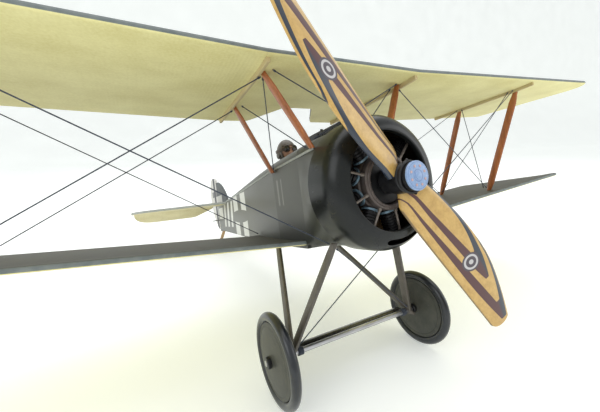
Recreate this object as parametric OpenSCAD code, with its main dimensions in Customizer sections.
// Radio-controlled model biplane, about 1:22, standing on its wheels and tailskid.
// Everything is drawn in flight attitude: x to port, y aft from the front of the hub disc,
// z up from the thrust line.  place() then sets the model down on the ground.

/* [Stance] */
// Angle that the nose points up on the ground
stance = 12; // [10:1:13]

/* [Fuselage] */
// Half width of the fuselage at the wings
fuselage_half_w = 16; // [15.5:0.1:16.5]
// Height of the flat bottom below the thrust line
fuselage_bottom = 20.5; // [20:0.1:21]
// Thickness of the foam sheet sides, floor and decks
wall = 1.2; // [1:0.1:1.4]
// Height of the curved decks above the side sheets
crown = 6.4; // [6:0.1:6.8]

/* [Wings] */
// Half of the wing span
half_span = 183.5; // [175:0.5:190]
// Chord of both wings
chord = 64.4; // [63:0.2:66]
// Thickness of the wing and tail sheet
sheet = 1.8; // [1.6:0.1:2]
// Depth of the shallow fold behind the leading edge of the wing sheets
fold = 0.5; // [0.1:0.1:0.6]
// Half width of the flat centre section
centre_half = 31.9; // [31:0.1:33]
// Rise of the upper outer panels
dihedral_upper = 2.84; // [2:0.1:4]
// Rise of the lower panels
dihedral_lower = 4.8; // [4:0.1:5]
// Distance that the upper leading edge stands ahead of the lower one
stagger = 21.1; // [20:0.1:22]
// Half distance between the port and starboard outer struts
strut_x = 120; // [117:0.5:122]

/* [Engine] */
// Outside radius of the cowl
cowl_r = 22.2; // [22:0.1:22.5]
// Radius of the cowl's front opening
cowl_mouth_r = 15.7; // [15.2:0.1:16]
// Number of engine cylinders
cylinders = 9; // [7:2:9]

/* [Propeller] */
// Radius of the propeller at its trailing corner
blade_r = 62.8; // [60:0.2:64]
// Resting angle of the propeller
propeller_angle = 56; // [0:1:90]

/* [Landing gear] */
// Radius of the wheels
wheel_r = 16; // [15.5:0.1:16.5]
// Distance of each wheel from the middle of the axle
wheel_x = 34.3; // [34:0.1:35]
// Radius of the axle
axle_r = 1; // [0.8:0.1:1.1]

/* [Tail] */
// Half span of the tailplane
tail_half_span = 75; // [72:0.5:76]
// Distance of the elevator hinge behind the hub disc
elevator_hinge_y = 232.4; // [232:0.1:233]
// Distance of the rudder hinge behind the hub disc
rudder_hinge_y = 241; // [240.8:0.1:241.4]

/* [Hidden] */

$fn = 48;
smooth = 96;
big = 400;
starboard = [-1, 1, 1];
port = [1, 1, 1];

// Fuselage stations along y
seam_y = 24.2;
fairing_end = 40.5;
taper_start = 65;
cockpit_front = 67;
cockpit_rear = 90;
deck_end = 196;
kink_y = 170;
kink_half_w = 6.6;
floor_rise_y = 100;
stern_y = rudder_hinge_y - 1.3;
stern_half_w = 1.5;
stern_bottom = 17.2;
longeron_front = 14.8;
longeron_slope = 0.0406;

// Wings
upper_le = [19.8, 41.75];
lower_le = [upper_le[0] + stagger, -18.3];
crease = 0.167;
rear_spar = 0.685;
aileron_hinge = 0.74;
aileron_x = [115, 172];
hinge_r = sheet / 2;
hinge_gap = 0.3;
pin_r = 0.35;
rib = [1.2, 1.6];
strut_w = 4;
strut_t = 1.5;
strut_gap = 0.45;

// Tail
tail_z = 6.8;
tail_le = 196;
horn = 6;
elevator_droop = 26;
horn_hole_r = 1;
rod_r = 0.4;

// Landing gear
axle_at = [0, 39, -55.2];
apex = [28.5, 39, -55.2];
middle_y = 129.2;
lift = wheel_r + axle_at[1] * sin(stance) - axle_at[2] * cos(stance);
skid_top = [0, 233, -18.1];
skid_y = 248;
skid_foot = [0, skid_y, (1 - lift + skid_y * sin(stance)) / cos(stance)];

// Engine and propeller
widest_r = 38;
thrust_disc = [0, 0.8];
hub_y = [3.9, 8.6];
adapter_r = 4.1;
adapter_end = 12.3;
shaft_r = 1.5;
bore_gap = 0.05;
pushrod_angle = 164;
crankcase_y = 11;
firewall_y = 25.5;

// Outlines of the fuselage
function half_w(y) = y < taper_start ? fuselage_half_w
    : y < kink_y ? lerp(fuselage_half_w, kink_half_w, (y - taper_start) / (kink_y - taper_start))
    : lerp(kink_half_w, stern_half_w, (y - kink_y) / (stern_y - kink_y));
function top_z(y) = longeron_front - longeron_slope * (y - 25);
function bottom_z(y) = y < floor_rise_y ? -fuselage_bottom
    : -fuselage_bottom + (fuselage_bottom - stern_bottom) * (y - floor_rise_y) / (stern_y - floor_rise_y);

// Heights of the wing sheets' middle surface
function arch(s) = s < crease ? -fold * s / crease
    : -fold * (1 - s) / (1 - crease);
function upper_z(x, s) = upper_le[1] + arch(s) + max(0, x - centre_half) * tan(dihedral_upper);
function lower_z(x, s) = lower_le[1] + arch(s) + (x - fuselage_half_w) * tan(dihedral_lower);
function upper_at(x, s, drop) = [x, upper_le[0] + s * chord, upper_z(x, s) - drop];
function lower_at(x, s, raise) = [x, lower_le[0] + s * chord, lower_z(x, s) + raise];

function lerp(a, b, t) = a + (b - a) * t;
function arc(a, b, c, steps) = [for (i = [0 : steps]) let (t = i / steps)
    lerp(lerp(a, b, t), lerp(b, c, t), t)];
function flip(p, side) = [p[0] * side[0], p[1], p[2]];

module place() {
    translate([0, -middle_y, lift]) rotate([-stance, 0, 0]) children();
}

// Draws a shape given in (y, z) and gives it a width along x
module along_x(width) {
    rotate([90, 0, 90]) linear_extrude(width, center = true) children();
}

// Turns +z to point from p to q, with local y still close to the model's y
module between(p, q) {
    v = q - p;
    translate(p) rotate([-asin(v[1] / norm(v)), atan2(v[0], v[2]), 0]) children();
}

module rod(p, q, r) {
    between(p, q) cylinder(r = r, h = norm(q - p), $fn = 24);
}

// A flat strut with tapered ends that are cut level
module strut(p, q, width, thickness) {
    v = q - p;
    l = norm(v);
    end = width * 0.34;
    rise = end * v[1] / norm([v[0], v[2]]);
    taper = 5;
    between(p, q) along_x(thickness)
        polygon([[-end, -rise], [end, rise], [width / 2, taper], [width / 2, l - taper], [end, l + rise],
            [-end, l - rise], [-width / 2, l - taper], [-width / 2, taper]]);
}

module mirrored(side) {
    mirror([side[0] < 0 ? 1 : 0, 0, 0]) children();
}

// ---- fuselage ----

module fuselage_outline() {
    polygon([[fairing_end, -fuselage_bottom], [floor_rise_y, -fuselage_bottom],
        [stern_y, -stern_bottom], [stern_y, tail_z - sheet], [rudder_hinge_y - 4, tail_z - sheet / 2 - 0.4],
        [tail_le, tail_z - sheet / 2], [tail_le, top_z(tail_le)], [fairing_end, top_z(fairing_end)]]);
}

module side_sheet() {
    intersection() {
        along_x(big) fuselage_outline();
        translate([0, 0, -big / 2]) linear_extrude(big)
            polygon([for (y = [fairing_end, taper_start, kink_y, stern_y]) [half_w(y), y],
                for (y = [stern_y, kink_y, taper_start, fairing_end]) [half_w(y) - wall, y]]);
    }
}

module rod_slot(y, z) {
    translate([half_w(y), y, z]) cube([8, 34, 2.4], center = true);
}

module fuselage_side_port() {
    color("#5f5f54") place() difference() {
        side_sheet();
        rod_slot(180, 1.5);
        rod_slot(186, -6.4);
    }
}

module fuselage_side_starboard() {
    color("#5f5f54") place() mirror([1, 0, 0]) side_sheet();
}

// Half width, front and rear of the battery hatch
hatch = [9, 49, 77];
hatch_hinge = [0, hatch[1], -fuselage_bottom + hinge_r];
hatch_pin_r = 0.5;

module fuselage_floor() {
    inner = wall + 0.02;
    stations = [fairing_end, taper_start, kink_y, stern_y];
    color("#55564c") place() difference() {
        union() {
            intersection() {
                along_x(big) polygon([[fairing_end, -fuselage_bottom], [floor_rise_y, -fuselage_bottom],
                    [stern_y, -stern_bottom], [stern_y, wall - stern_bottom],
                    [floor_rise_y, wall - fuselage_bottom], [fairing_end, wall - fuselage_bottom]]);
                translate([0, 0, -big / 2]) linear_extrude(big)
                    polygon([for (y = stations) [half_w(y) - inner, y],
                        for (i = [len(stations) - 1 : -1 : 0]) [inner - half_w(stations[i]), stations[i]]]);
            }
            for (side = [-1, 1]) translate(hatch_hinge + [side * (hatch[0] + 1.5), 0, 0])
                rotate([0, 90, 0]) cylinder(r = hinge_r, h = 1.6, center = true);
        }
        translate([-hatch[0] - hinge_gap, hatch[1] - 1.3, -fuselage_bottom - 1])
            cube([2 * (hatch[0] + hinge_gap), hatch[2] - hatch[1] + 1.3 + hinge_gap, 4]);
        translate(hatch_hinge) rotate([0, 90, 0])
            cylinder(r = hatch_pin_r + bore_gap, h = 2 * hatch[0] + 5.2, center = true);
    }
}

// A flap in the floor with its own hinge barrel and stub pins; opens downwards
module battery_hatch() {
    color("#4b4c44") place() union() {
        translate([-hatch[0], hatch[1], -fuselage_bottom])
            cube([2 * hatch[0], hatch[2] - hatch[1], wall]);
        translate(hatch_hinge) rotate([0, 90, 0]) cylinder(r = hinge_r, h = 2 * hatch[0], center = true);
        translate(hatch_hinge) rotate([0, 90, 0])
            cylinder(r = hatch_pin_r, h = 2 * hatch[0] + 4.4, center = true);
        translate([0, hatch[2] - 3, -fuselage_bottom - 0.5]) cylinder(r = 1.6, h = 1);
    }
}

// Cross section of the body at one station: flat sides under an arched deck
module body_section(y, inset) {
    w = half_w(y) - inset;
    base = top_z(y);
    translate([0, y, 0]) rotate([90, 0, 0]) linear_extrude(0.02, center = true)
        polygon([[-w, bottom_z(y) + inset], [w, bottom_z(y) + inset],
            for (a = [0 : 15 : 180]) [w * cos(a), base + (crown - inset) * sin(a)]]);
}

module nose_fairing() {
    color("#4f5048") place() difference() {
        hull() {
            translate([0, seam_y, 0]) rotate([-90, 0, 0]) cylinder(r = 21.4, h = 0.02, $fn = 64);
            body_section(fairing_end, 0);
        }
        hull() {
            translate([0, seam_y - 0.1, 0]) rotate([-90, 0, 0])
                cylinder(r = 21.4 - wall, h = 0.02, $fn = 64);
            translate([0, 0.1, 0]) body_section(fairing_end, wall);
        }
    }
}

// One bay of a curved deck, from station a to station b
module deck_bay(a, b, crown_a, crown_b) {
    difference() {
        hull() for (i = [0, 1]) deck_section([a, b][i], [crown_a, crown_b][i], 0, 0);
        hull() for (i = [0, 1]) deck_section([a - 0.2, b + 0.2][i], [crown_a, crown_b][i], wall, -0.5);
    }
}

module deck_section(y, rise, inset, shift) {
    w = half_w(y) - inset;
    translate([0, y, top_z(y) + shift * 0.2]) rotate([90, 0, 0]) linear_extrude(0.02, center = true)
        polygon([for (a = [0 : 12 : 180]) [w * cos(a), max(rise - inset, 0.1) * sin(a)], [0, shift]]);
}

module forward_deck() {
    color("#4b4b42") place() difference() {
        union() {
            deck_bay(fairing_end, taper_start, crown, crown);
            deck_bay(taper_start, cockpit_rear + 4, crown, crown - 0.4);
        }
        hull() for (y = [cockpit_front + 8.5, cockpit_rear - 8.5])
            translate([0, y, 0]) cylinder(r = 8.5, h = 40, $fn = 32);
    }
}

module turtle_deck() {
    color("#4b4b42") place() deck_bay(cockpit_rear + 4, deck_end, crown - 0.4, 0.7);
}

// Plywood and foam frames across the inside
module fuselage_formers() {
    color("#b99a6b") place() {
        translate([0, firewall_y, 0]) rotate([-90, 0, 0]) cylinder(r = 19, h = 2);
        for (y = [fairing_end + 0.6, cockpit_rear + 1, 140]) difference() {
            w = half_w(y + 1.2) - wall - 0.1;
            translate([-w, y, bottom_z(y) + wall + 0.1])
                cube([2 * w, 1.2, top_z(y) - bottom_z(y) - wall - 0.3]);
            translate([1.5 - w, y - 1, bottom_z(y) + wall + 1.5])
                cube([2 * w - 3, 4, top_z(y) - bottom_z(y) - wall - 3.2]);
        }
        // Instrument panel and the pilot's seat
        translate([0.2 + wall - fuselage_half_w, taper_start - 1.3, -6])
            cube([2 * (fuselage_half_w - wall - 0.2), 1.2, 18.8]);
        translate([-12.4, cockpit_front + 7, 0.8]) cube([24.8, 15, 1.2]);
    }
}

// ---- engine and propeller ----

// Puts a shape drawn in (radius, y) around the thrust line
module turned() {
    rotate([-90, 0, 0]) rotate_extrude($fn = smooth) children();
}

module cowl() {
    nose = 6.4;
    front = seam_y - 14.4;
    skin = 1.2;
    color("#15171a") place() difference() {
        turned() polygon([
            for (a = [0 : 10 : 90]) [cowl_r - nose + nose * cos(a), front + nose - nose * sin(a)],
            [cowl_mouth_r, front + 0.2], [cowl_mouth_r, front + 1.6], [cowl_r - nose, front + skin + 0.4],
            for (a = [90 : -10 : 0])
                [cowl_r - nose + (nose - skin) * cos(a), front + nose - (nose - skin) * sin(a)],
            [cowl_r - skin, seam_y], [cowl_r, seam_y]]);
        // Cooling slot low in the nose
        rotate([-90, 0, 0]) rotate([0, 0, 58]) rotate_extrude(angle = 44, $fn = smooth)
            translate([18.4, front - 1]) square([1.7, 5]);
    }
}

module crankcase() {
    color("#6c5b50") place() turned() difference() {
        polygon([[7.6, crankcase_y], [8.4, crankcase_y], [9.2, crankcase_y + 0.8], [9.2, crankcase_y + 2.4],
            [8.7, crankcase_y + 2.8], [8.7, crankcase_y + 4], [9.2, crankcase_y + 4.4],
            [9.2, firewall_y], [7.6, firewall_y]]);
    }
}

module ring_of(count, first) {
    for (i = [0 : count - 1]) rotate([0, -first - i * 360 / count, 0]) children();
}

module engine_cylinders() {
    color("#2b2b2d") place() ring_of(cylinders, pushrod_angle)
        translate([9.25, crankcase_y + 6, 0]) rotate([0, 90, 0]) {
            cylinder(r = 2.6, h = 10);
            cylinder(r = 1.8, h = 11);
        }
}

module engine_pushrods() {
    color("#8a7a60") place() ring_of(cylinders, pushrod_angle)
        rod([9.25, crankcase_y + 1.6, 0], [18.4, crankcase_y + 2.6, 0], 0.45);
}

module motor_stator() {
    color("#b8844a") place() turned()
        polygon([[shaft_r + bore_gap, 14.6], [5.7, 14.6], [5.7, 22.2], [3, 22.2], [3, 23.9], [6.4, 23.9],
            [6.4, firewall_y], [shaft_r + bore_gap, firewall_y]]);
}

module motor_bell() {
    color("#1d1e20") place() turned()
        polygon([[shaft_r, 12.6], [6.9, 12.6], [6.9, 22.6], [6.1, 22.6], [6.1, 13.8], [shaft_r, 13.8]]);
}

module prop_shaft() {
    color("#c9ccd0") place() translate([0, thrust_disc[1], 0]) rotate([-90, 0, 0])
        cylinder(r = shaft_r, h = firewall_y - 0.3 - thrust_disc[1]);
}

module prop_adapter() {
    color("#141416") place() turned()
        polygon([[shaft_r, thrust_disc[1]], [adapter_r, thrust_disc[1]], [adapter_r, hub_y[0]],
            [2.5, hub_y[0]], [2.5, hub_y[1]], [adapter_r, hub_y[1]], [adapter_r, adapter_end],
            [shaft_r, adapter_end]]);
}

// Blade outline in (radius, distance across the blade) and its pitch
function trailing(r) = -5.4 + 0.052 * (r - 7) + 0.75 * max(0, 7.5 - r);
function leading(r) = r < widest_r ? 10.1 - 0.0045 * pow(widest_r - r, 2)
    : 10.1 - 0.0266 * pow(r - widest_r, 1.66);
function trailing_y(r) = 8.4 - 0.048 * max(0, r - 15);
function blade_y(r, t) = trailing_y(r) - 0.33 * (t - trailing(r));
function blade_thick(r) = 3.2 - 0.036 * r;
// How far the rounded tip reaches past the trailing corner at a share c of the chord
function tip_reach(c) = 2.7 * sqrt(1 - pow(1 - c, 6)) - 1.1 * pow(c, 3);
function blade_point(r, c, face) = let (t = lerp(trailing(r), leading(r), c),
        reach = r + tip_reach(c) * max(0, r - 50) / (blade_r - 50),
        bow = pow(max(0, 4 * c * (1 - c)), 0.6))
    [reach, blade_y(r, t) + (face ? 0.25 : -0.75) * blade_thick(r) * bow + (face ? 0.25 : -0.25), t];
blade_steps = [4, 8, 12, 16, 20, 25, 30, 35, 40, 45, 49, 53, 56, 59, 61.5, blade_r];
chord_steps = [0, 0.05, 0.15, 0.3, 0.5, 0.7, 0.88, 1];

module blade() {
    n = 2 * len(chord_steps);
    rows = len(blade_steps);
    ring = [for (r = blade_steps) each [for (c = chord_steps) blade_point(r, c, false),
        for (i = [len(chord_steps) - 1 : -1 : 0]) blade_point(r, chord_steps[i], true)]];
    polyhedron(points = ring, faces = [
        [for (i = [n - 1 : -1 : 0]) i],
        [for (i = [0 : n - 1]) (rows - 1) * n + i],
        for (k = [0 : rows - 2], i = [0 : n - 1]) let (j = (i + 1) % n)
            each [[k * n + i, k * n + j, (k + 1) * n + i], [k * n + j, (k + 1) * n + j, (k + 1) * n + i]]]);
}

module propeller() {
    color("#cda45a") place() rotate([0, propeller_angle, 0]) difference() {
        union() {
            for (turn = [0, 180]) rotate([0, turn, 0]) blade();
            translate([0, hub_y[0], 0]) rotate([-90, 0, 0]) cylinder(r = 4.8, h = hub_y[1] - hub_y[0]);
        }
        translate([0, -1, 0]) rotate([-90, 0, 0]) cylinder(r = 2.5, h = 20);
        for (y = [-1.2, hub_y[1]]) translate([0, y, 0]) rotate([-90, 0, 0]) cylinder(r = 6.5, h = 5.1);
    }
}

module hub_disc() {
    color("#7d9ac8") place() rotate([-90, 0, 0]) union() {
        cylinder(r = 4.3, h = thrust_disc[1]);
        for (i = [0 : 7]) rotate([0, 0, i * 45]) translate([2.9, 0, -0.15]) cylinder(r = 0.4, h = 0.4);
    }
}

module prop_band() {
    color("#101010") place() turned() translate([adapter_r + 0.5, 2.6]) circle(r = 0.5, $fn = 24);
}

// ---- pilot and gun ----

head_at = [0, 80, 24];

module pilot() {
    head_r = 5.4;
    color("#6b4a34") place() union() {
        translate(head_at) rotate_extrude() intersection() {
            union() {
                circle(r = head_r);
                translate([0, -5.6]) square([5.6, 7.2], center = true);
            }
            translate([0, -10]) square([20, 20]);
        }
        for (side = [-1, 1]) translate(head_at + [side * 2.3, -5.4, 0.6]) rotate([-90, 0, 0])
            cylinder(r = 1.9, h = 2.6);
        hull() {
            translate(head_at + [0, 0, -9.6]) cylinder(r = 3.6, h = 1, $fn = 32);
            translate(head_at + [0, 1.5, -14]) scale([1.9, 1, 1]) cylinder(r = 4.2, h = 3, $fn = 32);
            translate(head_at + [0, 1.5, -22]) scale([1.8, 1, 1]) cylinder(r = 4, h = 1, $fn = 32);
        }
    }
}

module machine_gun() {
    gun_z = 23.7;
    color("#26282b") place() union() {
        translate([0, 28.5, gun_z]) rotate([-90, 0, 0]) cylinder(r = 0.5, h = 3);
        translate([0, 30.5, gun_z]) rotate([-90, 0, 0]) cylinder(r = 1.3, h = 14.5);
        translate([-1.4, 44, gun_z - 1.5]) cube([2.8, 11, 3]);
        translate([-0.7, 55, gun_z - 0.4]) cube([1.4, 2.6, 0.9]);
        for (foot = [[35, 20.95], [50, 20.3]])
            translate([-0.8, foot[0], foot[1]]) cube([1.6, 1.6, gun_z - foot[1]]);
    }
}

// ---- struts and wings ----

cabane_feet = [[16.5, 27.7, 14.4], [16.85, 62.4, 11.5]];

module cabane_struts(side) {
    color("#b4622c") place() mirrored(side) {
        strut(cabane_feet[0], upper_at(29.7, crease, sheet / 2 + strut_gap), strut_w, strut_t);
        strut(cabane_feet[1], upper_at(29.7, rear_spar, sheet / 2 + strut_gap), strut_w, strut_t);
    }
}

module cabane_struts_port() { cabane_struts(port); }
module cabane_struts_starboard() { cabane_struts(starboard); }

module interplane_struts(side) {
    color("#b4622c") place() mirrored(side) for (s = [crease, rear_spar])
        strut(lower_at(strut_x, s, sheet / 2 + 0.2), upper_at(strut_x, s, sheet / 2 + rib[1] + strut_gap),
            strut_w, strut_t);
}

module interplane_struts_port() { interplane_struts(port); }
module interplane_struts_starboard() { interplane_struts(starboard); }

// The arched sheet between two fractions of the chord, as an outline in (y, z)
module sheet_profile(from, to, thickness, shift) {
    steps = [for (i = [0 : 14]) let (s = i < 3 ? crease * i / 3 : crease + (1 - crease) * (i - 3) / 11)
        if (s >= from && s <= to) s];
    all = concat(steps[0] > from ? [from] : [], steps, to > steps[len(steps) - 1] ? [to] : []);
    polygon([for (s = all) [s * chord, arch(s) + shift - thickness / 2],
        for (i = [len(all) - 1 : -1 : 0]) [all[i] * chord, arch(all[i]) + shift + thickness / 2]]);
}

module upper_planform() {
    tip = half_span;
    le = upper_le[0];
    te = le + chord;
    polygon([[centre_half, le - 1], [tip - 7, le - 1], [tip - 3, le + 0.6], [tip - 0.8, le + 3],
        [tip, le + 6.5], [tip - 10.5, te - 5], [tip - 12.2, te - 1.6], [tip - 15, te + 1],
        [centre_half, te + 1]]);
}

module lower_planform() {
    tip = half_span + 1.3;
    le = lower_le[0];
    te = le + chord;
    polygon([[fuselage_half_w + 0.02, le - 1], [tip - 7, le - 1], [tip - 3, le + 0.6], [tip - 0.8, le + 3],
        [tip, le + 6], [tip - 10.5, te - 5], [tip - 12.2, te - 1.6], [tip - 15, te + 1],
        [half_w(te + 1) + 0.02, te + 1], [fuselage_half_w + 0.02, taper_start]]);
}

module upper_wing_centre() {
    le = upper_le[0];
    te = le + chord;
    color("#d9d29a") place() difference() {
        translate([0, le, upper_le[1]]) along_x(2 * centre_half) sheet_profile(0, 1, sheet, 0);
        translate([0, 0, 20]) linear_extrude(40)
            polygon([for (side = [-1, 1]) each side < 0
                ? [[-17.5, te + 2], [-16.5, te - 3], [-9.5, le + 47], [-8.6, le + 44], [-6.6, le + 42.7]]
                : [[6.6, le + 42.7], [8.6, le + 44], [9.5, le + 47], [16.5, te - 3], [17.5, te + 2]]]);
    }
}

module upper_panel() {
    intersection() {
        translate([centre_half, upper_le[0], upper_le[1]]) rotate([0, -dihedral_upper, 0])
            translate([big / 2 - 4, 0, 0]) along_x(big) sheet_profile(0, 1, sheet, 0);
        linear_extrude(big) upper_planform();
    }
}

module upper_wing_port() { color("#d9d29a") place() upper_panel(); }
module upper_wing_starboard() { color("#d9d29a") place() mirror([1, 0, 0]) upper_panel(); }

// Thin wooden ribs under the upper wing at the panel joints and at the outer struts
module wing_ribs() {
    under = -sheet / 2 - rib[1] / 2;
    color("#8d5a2c") place() for (side = [port, starboard]) mirrored(side) {
        translate([centre_half - rib[0] / 2 - 0.02, upper_le[0], upper_le[1]])
            along_x(rib[0]) sheet_profile(0.03, 0.97, rib[1], under);
        translate([centre_half, upper_le[0], upper_le[1]]) rotate([0, -dihedral_upper, 0])
            translate([(strut_x - centre_half) / cos(dihedral_upper), 0, 0])
            along_x(rib[0]) sheet_profile(0.03, 0.97, rib[1], under);
    }
}

// The lower sheet in its own tilted frame, root at x = 0
module lower_frame() {
    translate([fuselage_half_w, lower_le[0], lower_le[1]]) rotate([0, -dihedral_lower, 0]) children();
}

aileron_y = aileron_hinge * chord;
aileron_z = arch(aileron_hinge);
aileron_from = aileron_x[0] - fuselage_half_w;
aileron_to = aileron_x[1] - fuselage_half_w;

module lower_panel() {
    difference() {
        intersection() {
            lower_frame() translate([big / 2 - 8, 0, 0]) along_x(big) sheet_profile(0, 1, sheet, 0);
            translate([0, 0, -big / 2]) linear_extrude(big) lower_planform();
        }
        lower_frame() translate([aileron_from - hinge_gap, aileron_y - hinge_r - hinge_gap, -10])
            cube([aileron_to - aileron_from + 2 * hinge_gap, 40, 20]);
        lower_frame() for (x = [aileron_from, aileron_to]) translate([x, aileron_y, aileron_z])
            rotate([0, 90, 0]) cylinder(r = pin_r, h = 8, center = true);
    }
}

module lower_wing_port() { color("#4a463c") place() lower_panel(); }
module lower_wing_starboard() { color("#4a463c") place() mirror([1, 0, 0]) lower_panel(); }

module aileron() {
    l = aileron_to - aileron_from;
    lower_frame() translate([aileron_from, 0, 0]) difference() {
        union() {
            translate([l / 2, 0, 0]) along_x(l) sheet_profile(aileron_hinge, 1, sheet, 0);
            translate([0, aileron_y, aileron_z]) rotate([0, 90, 0]) cylinder(r = hinge_r, h = l);
        }
        translate([-1, aileron_y, aileron_z]) rotate([0, 90, 0]) cylinder(r = pin_r + bore_gap, h = l + 2);
    }
}

module aileron_port() { color("#4a463c") place() aileron(); }
module aileron_starboard() { color("#4a463c") place() mirror([1, 0, 0]) aileron(); }

rudder_pin = [-stern_bottom - 1.25, 5.6];

// Wire pins that the ailerons and the rudder turn on
module hinge_pins() {
    l = aileron_to - aileron_from;
    color("#b9bcc0") place() {
        for (side = [port, starboard]) mirrored(side) lower_frame()
            for (x = [aileron_from, aileron_to]) translate([x, aileron_y, aileron_z])
                rotate([0, 90, 0]) cylinder(r = pin_r, h = 8, center = true, $fn = 24);
        translate([0, rudder_hinge_y, rudder_pin[0]])
            cylinder(r = pin_r, h = rudder_pin[1] - rudder_pin[0], $fn = 24);
    }
}

// ---- tail ----

module tailplane() {
    w = tail_half_span;
    rear = elevator_hinge_y - hinge_r - hinge_gap;
    color("#d8d2a8") place() translate([0, 0, tail_z - sheet / 2]) linear_extrude(sheet)
        polygon([[0, tail_le], [8, tail_le + 0.4], [w * 0.8, tail_le + 10.5], [w * 0.9, tail_le + 13],
            [w * 0.965, tail_le + 17.5], [w, tail_le + 27], [w + 0.4, rear], [-w - 0.4, rear],
            [-w, tail_le + 27], [-w * 0.965, tail_le + 17.5], [-w * 0.9, tail_le + 13],
            [-w * 0.8, tail_le + 10.5], [-8, tail_le + 0.4]]);
}

elevator_root = 7.5;
joiner_r = 0.6;

// Turns a shape drawn flat behind the elevator hinge down to where it rests without power
module drooped() {
    translate([0, elevator_hinge_y, tail_z]) rotate([-elevator_droop, 0, 0]) children();
}

module elevator_half() {
    w = tail_half_span;
    depth = 17.6;
    drooped() difference() {
        union() {
            translate([0, 0, -sheet / 2]) linear_extrude(sheet)
                polygon([[elevator_root, 0], [w - 1.4, 0], [w - 2.6, depth - 12],
                    [w - 6, depth - 5.5], [w - 12, depth - 1.4], [w - 18, depth],
                    [24, depth - 0.3], [21, depth - 1.4], [elevator_root + 0.4, 4],
                    [elevator_root, 3]]);
            translate([elevator_root, 0, 0]) rotate([0, 90, 0])
                cylinder(r = hinge_r, h = w - 1.4 - elevator_root);
        }
        translate([elevator_root - 1, 0, 0]) rotate([0, 90, 0]) cylinder(r = joiner_r, h = 13);
    }
}

module elevator_port() { color("#d8d2a8") place() elevator_half(); }
module elevator_starboard() { color("#d8d2a8") place() mirror([1, 0, 0]) elevator_half(); }

// Wire that ties the two elevators together, with the control horn on it
module elevator_joiner() {
    horn_x = 5.2;
    color("#9a9da1") place() drooped() union() {
        rotate([0, 90, 0])
            cylinder(r = joiner_r, h = 2 * (elevator_root + 12 - 0.2), center = true, $fn = 24);
        difference() {
            translate([horn_x, 0, 0]) rotate([0, 90, 0]) union() {
                cylinder(r = 0.95, h = 0.8);
                translate([0, -0.5, 0]) cube([horn, 2.3, 0.8]);
                translate([horn, 0, 0]) cylinder(r = 1.8, h = 0.8);
            }
            translate([horn_x - 1, 0, -horn]) rotate([0, 90, 0]) cylinder(r = horn_hole_r, h = 4);
        }
    }
}

// Bearings for the elevator wire, and the bracket under the rudder pin
module hinge_lugs() {
    lug_back = elevator_hinge_y - hinge_r - hinge_gap;
    color("#c8c4b4") place() {
        for (side = [-1, 1]) difference() {
            union() {
                translate([side * 3.2, elevator_hinge_y, tail_z]) rotate([0, 90, 0])
                    cylinder(r = 1.2, h = 1.6, center = true);
                translate([side * 3.2 - 0.8, lug_back, tail_z - 0.8]) cube([1.6, 1.2, 1.6]);
            }
            translate([side * 3.2, elevator_hinge_y, tail_z]) rotate([0, 90, 0])
                cylinder(r = joiner_r + bore_gap, h = 4, center = true);
        }
        difference() {
            union() {
                translate([0, rudder_hinge_y, rudder_pin[0]]) cylinder(r = 1.2, h = 1.2);
                translate([-1.2, rudder_hinge_y - 3.5, rudder_pin[0]]) cube([2.4, 3.5, 1.2]);
            }
            translate([0, rudder_hinge_y, rudder_pin[0] - 2]) cylinder(r = pin_r, h = 6);
        }
    }
}

module fin() {
    rear = rudder_hinge_y - hinge_r - hinge_gap;
    base = tail_z + sheet / 2 + 0.02;
    color("#565b60") place() along_x(sheet) polygon([[204.5, base],
        each arc([206, 11.5], [218, 25.5], [234, 28.6], 8),
        [rear, 28.9], [rear, base]]);
}

module rudder() {
    h = rudder_hinge_y;
    bottom = -stern_bottom + 0.5;
    top = 31.5;
    color("#e3e1da") place() difference() {
        union() {
            along_x(sheet) polygon([[h, bottom], [h + 5, bottom + 0.4],
                each arc([h + 11, -13.5], [h + 26, -4], [h + 26.8, 15.8], 8),
                each arc([h + 26.8, 16.2], [h + 26.4, 33.6], [h + 11, 34.5], 8),
                [h + 4, 33.4], [h, top]]);
            translate([0, h, bottom]) cylinder(r = hinge_r, h = top - bottom);
        }
        translate([0, h, bottom - 1]) cylinder(r = pin_r + bore_gap, h = rudder_pin[1] + 0.4 - bottom + 1);
    }
}

module rudder_horn() {
    color("#8f8f88") place() translate([0, rudder_hinge_y, -8]) difference() {
        for (side = [port, starboard]) mirrored(side) {
            translate([horn, 0, 0]) cylinder(r = 1.8, h = 0.8);
            translate([hinge_r + 0.02, -0.3, 0]) cube([horn - hinge_r - 0.02, 3.3, 0.8]);
        }
        for (x = [-horn, horn]) translate([x, 0, -1]) cylinder(r = horn_hole_r, h = 4);
    }
}

module tail_skid() {
    color("#b08a58") place() union() {
        strut(skid_top, skid_foot, 2.6, 1.8);
        translate(skid_foot) rotate([stance, 0, 0]) translate([0, 0, -1]) cylinder(r = 1.4, h = 1.6);
    }
}

// ---- landing gear ----

leg_tops = [[13.4, 26.5, -18.2], [13.4, 74.5, -20.55]];

module gear_leg(side, top) {
    color("#5f5850") place() mirrored(side) difference() {
        strut(apex - 2 * (top - apex) / norm(top - apex), top, 3.4, 1.4);
        translate(axle_at) rotate([0, 90, 0]) cylinder(r = axle_r, h = big, center = true);
    }
}

module gear_leg_front_port() { gear_leg(port, leg_tops[0]); }
module gear_leg_front_starboard() { gear_leg(starboard, leg_tops[0]); }
module gear_leg_rear_port() { gear_leg(port, leg_tops[1]); }
module gear_leg_rear_starboard() { gear_leg(starboard, leg_tops[1]); }

module axle() {
    color("#b9bcc0") place() translate(axle_at) rotate([0, 90, 0])
        cylinder(r = axle_r, h = 2 * (wheel_x + 4), center = true);
}

module spreader_bar() {
    color("#2c2b29") place() translate(axle_at + [0, 3.4, 0]) along_x(2 * (apex[0] - 2))
        polygon([for (a = [0 : 20 : 340]) [2.2 * cos(a), 1.1 * sin(a)]]);
}

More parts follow.
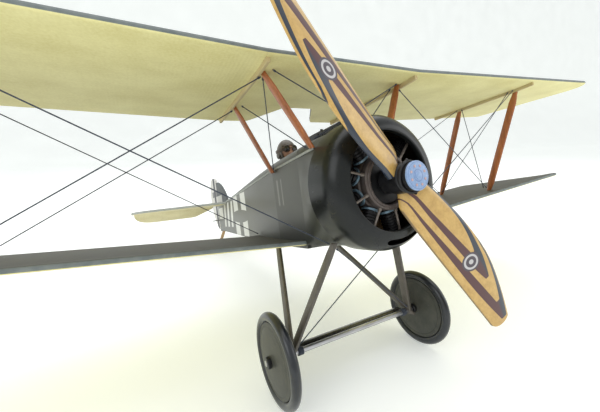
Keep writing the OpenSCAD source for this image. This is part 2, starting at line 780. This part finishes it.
module axle_collars() {
    color("#1a1b1d") place() for (side = [-1, 1], x = [wheel_x - 3.2, wheel_x + 3.1])
        translate(axle_at + [side * x, 0, 0]) rotate([0, 90, 0]) difference() {
            cylinder(r = 2, h = 1.4, center = true);
            cylinder(r = axle_r, h = 4, center = true);
        }
}

// Puts a shape drawn in (radius, x) around the axle at one wheel
module wheel_turned(side) {
    place() translate([side[0] * wheel_x, axle_at[1], axle_at[2]]) rotate([0, 90, 0])
        rotate_extrude($fn = smooth) children();
}

tyre_tube = 1.7;
rim_r = wheel_r - 2 * tyre_tube;

module tyre(side) {
    color("#1b1e24") wheel_turned(side) translate([wheel_r - tyre_tube, 0]) circle(r = tyre_tube, $fn = 32);
}

module tyre_port() { tyre(port); }
module tyre_starboard() { tyre(starboard); }

module wheel_disc(side) {
    rim = 0.9;
    hub = 2.2;
    color("#4b4b45") wheel_turned(side) polygon([[axle_r + bore_gap, -hub], [2.2, -hub],
        [rim_r - 0.4, -rim - 0.3], [rim_r, -rim], [rim_r, rim], [rim_r - 0.4, rim + 0.3], [2.2, hub],
        [axle_r + bore_gap, hub]]);
}

module wheel_disc_port() { wheel_disc(port); }
module wheel_disc_starboard() { wheel_disc(starboard); }

// ---- radio gear ----

module battery() {
    color("#9aa3ad") place() translate([-7.5, hatch[1] + 3, -18.8]) cube([15, 22, 6]);
}

rod_start = 113;
rudder_rod = [[3.4, rod_start, -7], [horn, rudder_hinge_y, -7]];
elevator_rod = [[3.4, rod_start, 1.6],
    [6.6, elevator_hinge_y - horn * sin(elevator_droop), tail_z - 5.7]];

// Receiver board with two linear servos, glued across the inside
module radio_tray() {
    color("#2f6b46") place() union() {
        translate([-9, 94, -4]) cube([18, 16, 1]);
        translate([-8, 96, -3]) cube([5, 12, 4.4]);
        translate([3, 96, -3]) cube([5, 12, 3.4]);
        translate([1.5, 97, -9]) cube([4, 12, 5]);
    }
}

// Wire rod with a short hooked end that drops through its control horn
module elevator_pushrod() {
    color("#c0c3c7") place() union() {
        rod(elevator_rod[0], elevator_rod[1], rod_r);
        rod(elevator_rod[1] + [rod_r, 0, 0], elevator_rod[1] - [2.2, 0, 0], rod_r);
    }
}

module rudder_pushrod() {
    color("#c0c3c7") place() union() {
        rod(rudder_rod[0] + [0, 0, 1], rudder_rod[1] + [0, 0, 0.4], rod_r);
        rod(rudder_rod[1] + [0, 0, 0.8], rudder_rod[1] - [0, 0, 2], rod_r);
    }
}

// ---- rigging ----

thread_r = 0.25;
thread_gap = 0.5;

module thread(p, q) {
    u = (q - p) / norm(q - p);
    rod(p + u * thread_gap, q - u * thread_gap, thread_r);
}

upper_front = upper_at(strut_x - 2, crease, sheet / 2 + 0.6);
upper_rear = upper_at(strut_x - 2, rear_spar, sheet / 2 + 1);
lower_front = lower_at(strut_x - 2, crease, sheet / 2 + 1.9);
lower_rear = lower_at(strut_x - 2, rear_spar, sheet / 2 + 2);
cabane_front = upper_at(27.6, crease, sheet / 2 + 1);
cabane_rear = upper_at(27.6, rear_spar, sheet / 2 + 1);
landing_front = upper_at(32, crease, sheet / 2 + 2);
landing_rear = upper_at(32, rear_spar, sheet / 2 + 2);

module flying_wires() {
    color("#3a4150") place() for (side = [port, starboard]) {
        thread(flip(upper_front, side), flip([14.8, 27.4, -18.6], side));
        thread(flip(upper_rear, side), flip([13.9, 99, -16.3], side));
        thread(flip(landing_front, side), flip(lower_front, side));
        thread(flip(landing_rear, side), flip(lower_rear, side));
    }
}

module bracing_wires() {
    color("#3a4150") place() for (side = [port, starboard]) {
        thread(flip(upper_front, side) + [0, 2.4, 0], flip(lower_rear, side) - [0, 2.4, 0]);
        thread(flip(upper_rear + [1, -2.4, 0], side), flip(lower_front + [1, 2.4, 0], side));
        thread(flip(cabane_front + [1.2, 2.6, 0], side), flip([17.6, 60, 13], side));
        thread(flip(cabane_rear + [-0.2, -2.6, 0], side), flip([17.6, 30.4, 15.5], side));
        thread(flip([26.8, 37.6, -53], side), flip([-11.6, 28, -20.4], side) + [0, side[0] * 0.6, 0]);
        thread(flip(cabane_front, side) + [0, side[0] * 0.5 - 2.6, 0],
            flip([-15.6, 26.6, 17.5], side) + [0, side[0] * 0.5, 0]);
    }
}

fuselage_side_port();
fuselage_side_starboard();
fuselage_floor();
nose_fairing();
forward_deck();
turtle_deck();
fuselage_formers();
battery_hatch();
cowl();
crankcase();
engine_cylinders();
engine_pushrods();
motor_stator();
motor_bell();
prop_shaft();
prop_adapter();
propeller();
hub_disc();
prop_band();
pilot();
machine_gun();
cabane_struts_port();
cabane_struts_starboard();
interplane_struts_port();
interplane_struts_starboard();
upper_wing_centre();
upper_wing_port();
upper_wing_starboard();
wing_ribs();
lower_wing_port();
lower_wing_starboard();
aileron_port();
aileron_starboard();
hinge_pins();
tailplane();
elevator_port();
elevator_starboard();
elevator_joiner();
hinge_lugs();
fin();
rudder();
rudder_horn();
tail_skid();
gear_leg_front_port();
gear_leg_front_starboard();
gear_leg_rear_port();
gear_leg_rear_starboard();
axle();
spreader_bar();
tyre_port();
tyre_starboard();
wheel_disc_port();
wheel_disc_starboard();
axle_collars();
battery();
radio_tray();
elevator_pushrod();
rudder_pushrod();
flying_wires();
bracing_wires();
